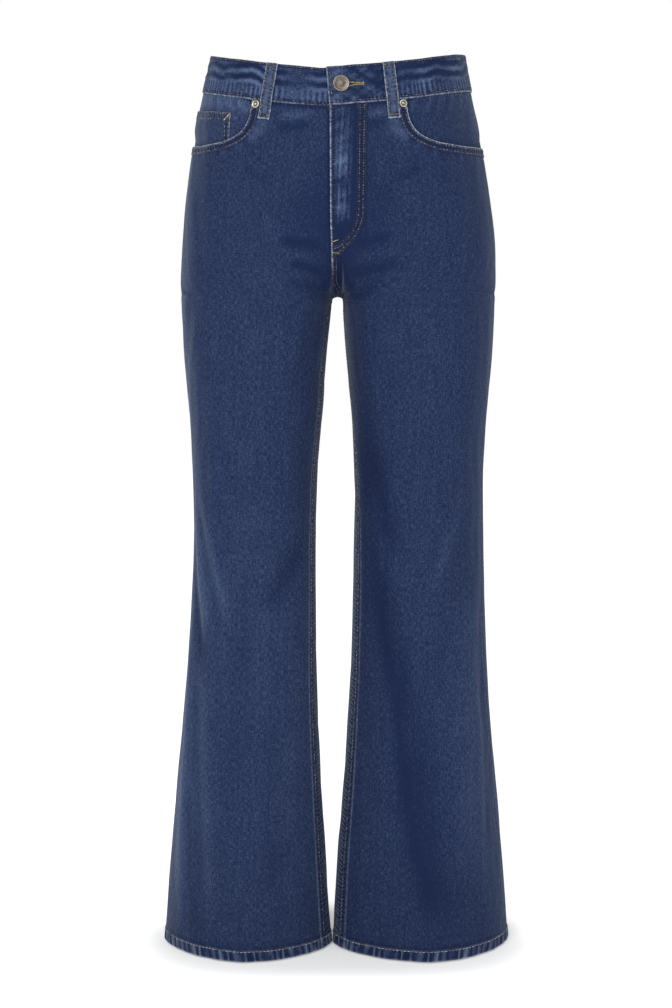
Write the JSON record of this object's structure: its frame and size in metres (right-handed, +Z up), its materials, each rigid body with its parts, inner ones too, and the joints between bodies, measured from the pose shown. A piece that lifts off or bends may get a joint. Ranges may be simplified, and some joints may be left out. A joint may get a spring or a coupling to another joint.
{
  "type": "flared jeans",
  "caption": "Flared denim jeans, filled out as if worn: waistband with loops and a button, curved front pockets, fly, yoke, patch back pockets and wide hemmed legs.",
  "frame": {"origin": "middle of the waist opening, level with the waistband's top edge at the side seams", "axes": "+Z up, along the legs towards the waist; the front faces -Y and the wearer's left is +X"},
  "size_m": [0.4195, 0.2542, 1.0658],
  "materials": {
    "denim": "washed indigo twill",
    "denim_under": "washed indigo twill with its pale weft side inwards",
    "zip_tape": "woven tape",
    "metal": "antique nickel-brass"
  },
  "bodies": {
    "root": {"front_right": "denim", "front_left": "denim", "back_right": "denim", "back_left": "denim", "yoke_right": "denim", "yoke_left": "denim", "pocket_facing_right": "denim_under", "pocket_facing_left": "denim_under", "coin_pocket": "denim_under", "fly_facing": "denim_under", "zip": "zip_tape", "waistband": "denim", "belt_loop_front_right": "denim", "belt_loop_front_left": "denim", "belt_loop_back_right": "denim", "belt_loop_back_left": "denim", "belt_loop_back_middle": "denim", "back_pocket_right": "denim", "back_pocket_left": "denim", "hem_turn_up_right": "denim_under", "hem_turn_up_left": "denim_under", "button": "metal", "rivet_right": "metal", "rivet_left": "metal"}
  },
  "joints": []
}
